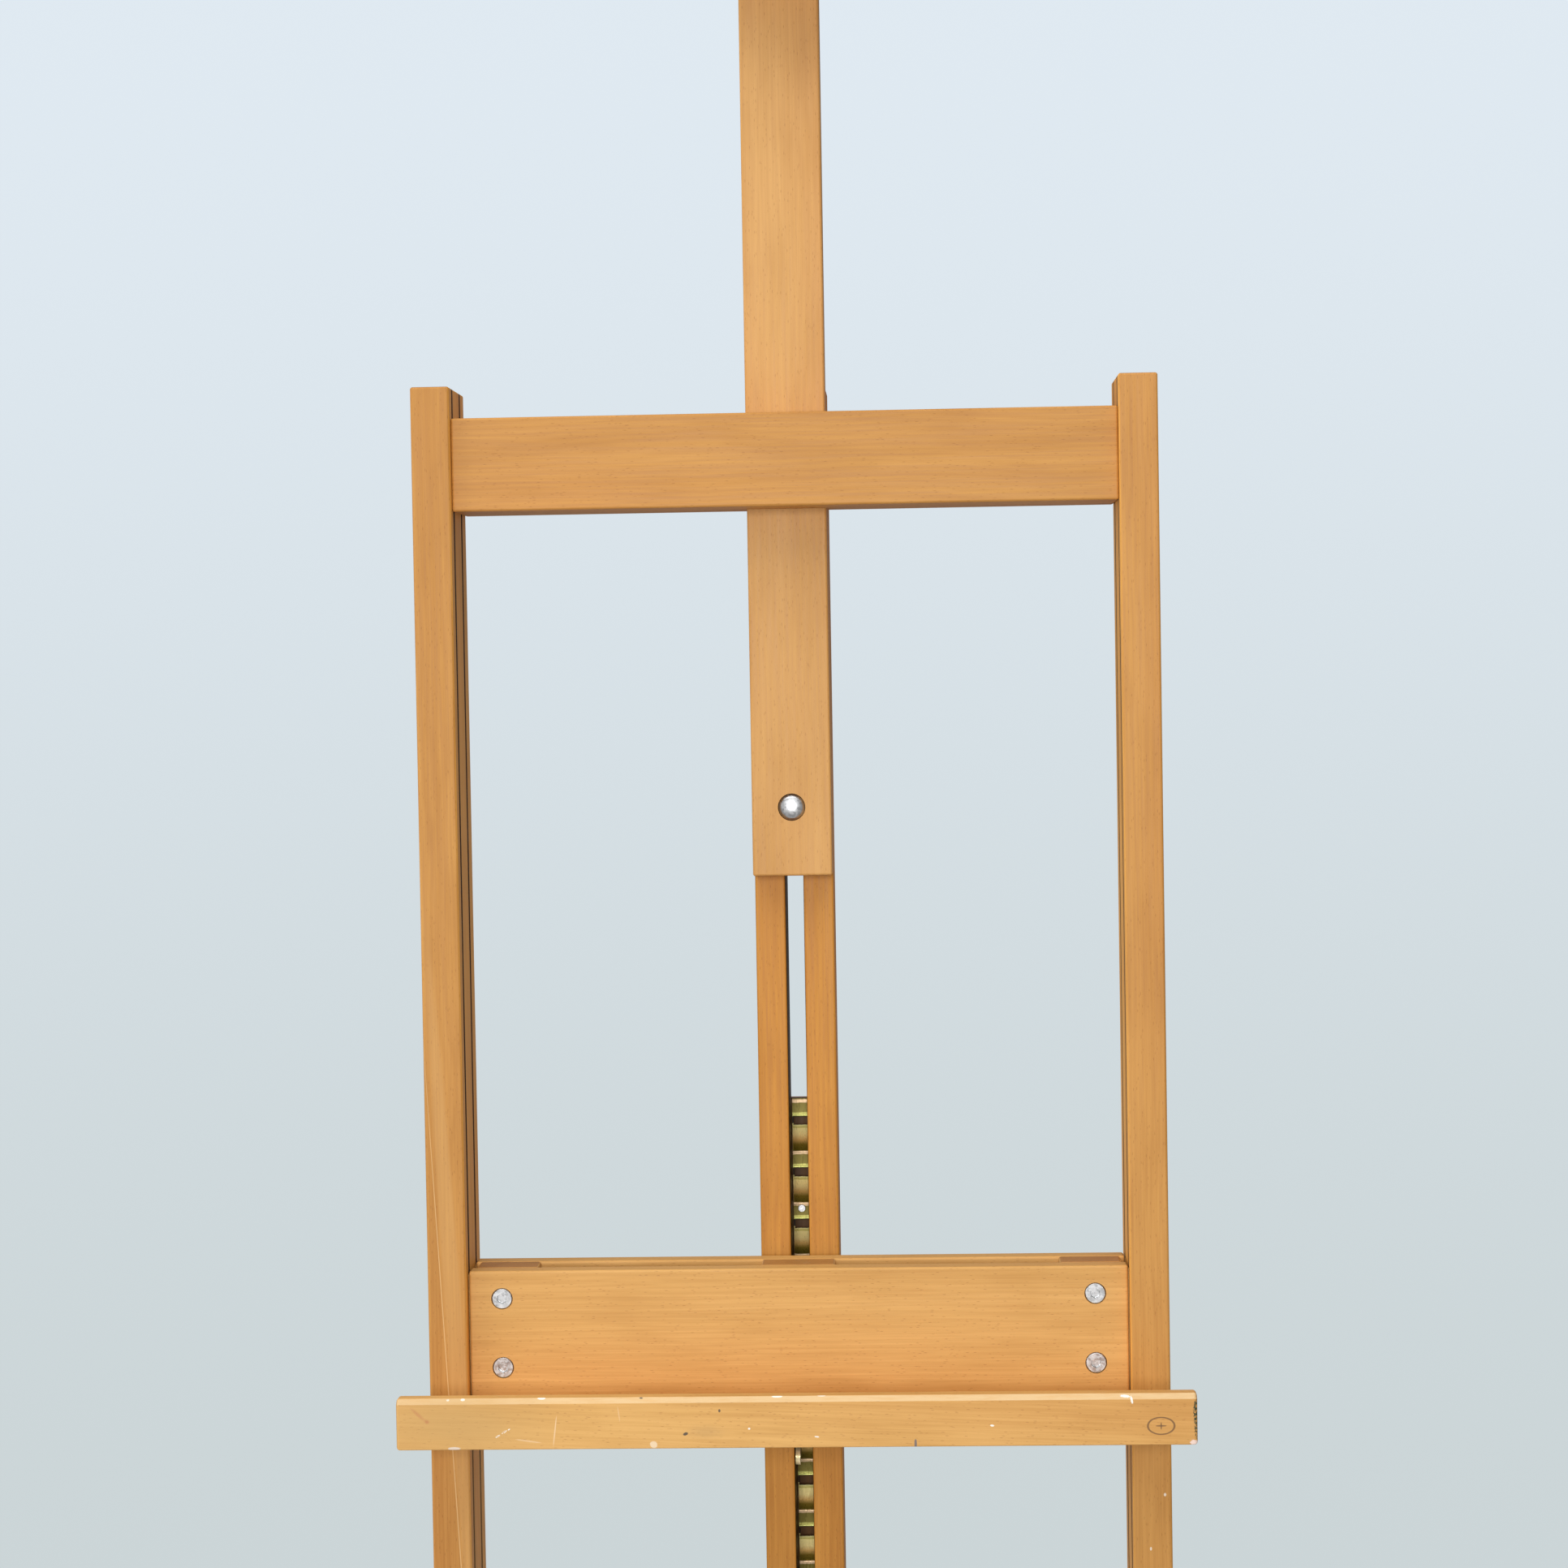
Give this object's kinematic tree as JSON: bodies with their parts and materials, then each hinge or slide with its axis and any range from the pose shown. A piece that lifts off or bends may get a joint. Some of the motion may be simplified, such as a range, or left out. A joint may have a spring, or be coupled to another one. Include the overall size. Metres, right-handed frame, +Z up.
{
  "type": "h frame easel",
  "caption": "Free-standing wooden studio easel: a leaning grooved frame, a ratcheting canvas ledge, a sliding mast with a clamping top holder, and slotted rear struts on a runner base.",
  "frame": {"origin": "on the floor, at the middle of the base's footprint", "axes": "+Z up, the front (canvas side) faces -Y, +X to the viewer's right when facing the front"},
  "size_m": [0.582, 0.6, 1.9136],
  "materials": {
    "frame_beech": "oiled beech, satin",
    "pale_beech": "oiled beech, paler boards",
    "brass_plate": "yellow-passivated pressed steel, brass coloured",
    "zinc_steel": "bright zinc plate",
    "black_plastic": "moulded, fine texture",
    "foot_rubber": "moulded rubber"
  },
  "bodies": {
    "base": {"left_runner": "frame_beech", "right_runner": "frame_beech", "front_cross_member": "frame_beech", "rear_cross_member": "frame_beech", "cross_member_bolts": "zinc_steel", "rubber_feet": "foot_rubber", "foot_screws": "zinc_steel", "hinge_bolts": "zinc_steel", "hinge_spacers": "frame_beech", "strut_foot_bolts": "zinc_steel", "pivot_nuts": "zinc_steel"},
    "h_frame": {"left_upright": "frame_beech", "right_upright": "frame_beech", "lower_crossbar": "frame_beech", "upper_crossbar": "frame_beech", "crossbar_bolts": "zinc_steel", "left_rail": "frame_beech", "right_rail": "frame_beech", "rail_screws": "zinc_steel", "slot_spacers": "frame_beech", "head_blocks": "frame_beech", "head_plate": "frame_beech", "head_bolts": "zinc_steel", "rack_strip": "brass_plate", "rack_screws": "zinc_steel", "rack_batten": "frame_beech", "batten_screws": "zinc_steel", "strut_bolts": "zinc_steel", "strut_washers": "zinc_steel"},
    "left_back_strut": {"left_strut": "frame_beech"},
    "right_back_strut": {"right_strut": "frame_beech"},
    "left_strut_clamp": {"left_strut_knob": "black_plastic"},
    "right_strut_clamp": {"right_strut_knob": "black_plastic"},
    "tray": {"tray_lip": "pale_beech", "tray_floor": "pale_beech", "lip_dowels": "pale_beech", "floor_screws": "zinc_steel", "front_carriage_bar": "pale_beech", "rear_carriage_bar": "pale_beech", "carriage_blocks": "pale_beech", "carriage_bolts": "zinc_steel", "catch_bracket": "zinc_steel", "catch_screws": "zinc_steel", "catch_pin": "zinc_steel", "catch_spring": "zinc_steel"},
    "catch": {"catch_lever": "brass_plate"},
    "mast_post": {"mast": "pale_beech", "mast_guide": "pale_beech", "guide_dowels": "pale_beech", "mast_clamp_bolt": "zinc_steel", "mast_clamp_plate": "pale_beech", "mast_washer": "zinc_steel"},
    "mast_clamp": {"mast_knob": "black_plastic"},
    "canvas_holder": {"holder_head": "pale_beech", "holder_cheeks": "pale_beech", "holder_back_plate": "pale_beech", "holder_screws": "zinc_steel", "holder_nut": "brass_plate"},
    "holder_clamp": {"holder_knob": "black_plastic", "holder_clamp_screw": "zinc_steel"}
  },
  "joints": [
    {"name": "frame_tilt", "type": "hinge", "parent": "base", "child": "h_frame", "pos_m": [0, -0.15, 0.045], "axis": [-1, 0, 0], "range_deg": [-8, 6]},
    {"name": "left_strut_swing", "type": "hinge", "parent": "base", "child": "left_back_strut", "pos_m": [-0.247, 0.25, 0.045], "axis": [-1, 0, 0], "range_deg": [-4.75, 3.6]},
    {"name": "right_strut_swing", "type": "hinge", "parent": "base", "child": "right_back_strut", "pos_m": [0.247, 0.25, 0.045], "axis": [-1, 0, 0], "range_deg": [-4.75, 3.6]},
    {"name": "left_strut_knob_turn", "type": "hinge", "parent": "h_frame", "child": "left_strut_clamp", "pos_m": [-0.265, -0.10087, 0.51243], "axis": [-1, 0, 0], "range_deg": [0, 360]},
    {"name": "right_strut_knob_turn", "type": "hinge", "parent": "h_frame", "child": "right_strut_clamp", "pos_m": [0.265, -0.10087, 0.51243], "axis": [1, 0, 0], "range_deg": [0, 360]},
    {"name": "tray_slide", "type": "slide", "parent": "h_frame", "child": "tray", "axis": [0, 0.1045, 0.9945], "range_m": [-0.42, 0.21]},
    {"name": "catch_release", "type": "hinge", "parent": "tray", "child": "catch", "pos_m": [0, -0.01637, 0.69459], "axis": [-1, 0, 0], "range_deg": [0, 14], "stiffness_Nm_per_rad": 0.15, "springref_deg": -17.19},
    {"name": "mast_slide", "type": "slide", "parent": "h_frame", "child": "mast_post", "axis": [0, 0.1045, 0.9945], "range_m": [-0.14, 0.17]},
    {"name": "mast_knob_turn", "type": "hinge", "parent": "mast_post", "child": "mast_clamp", "pos_m": [0, 0.06366, 1.0733], "axis": [0, 0.9945, -0.1045], "range_deg": [0, 360]},
    {"name": "holder_slide", "type": "slide", "parent": "mast_post", "child": "canvas_holder", "axis": [0, -0.1045, -0.9945], "range_m": [-0.19, 0.24]},
    {"name": "holder_knob_turn", "type": "hinge", "parent": "canvas_holder", "child": "holder_clamp", "pos_m": [0, 0.08471, 1.65629], "axis": [0, 0.9945, -0.1045], "range_deg": [0, 360]}
  ],
  "couplings": [
    {"joint": "left_strut_swing", "follows": "frame_tilt", "ratio": 0.5875},
    {"joint": "right_strut_swing", "follows": "frame_tilt", "ratio": 0.5875}
  ]
}
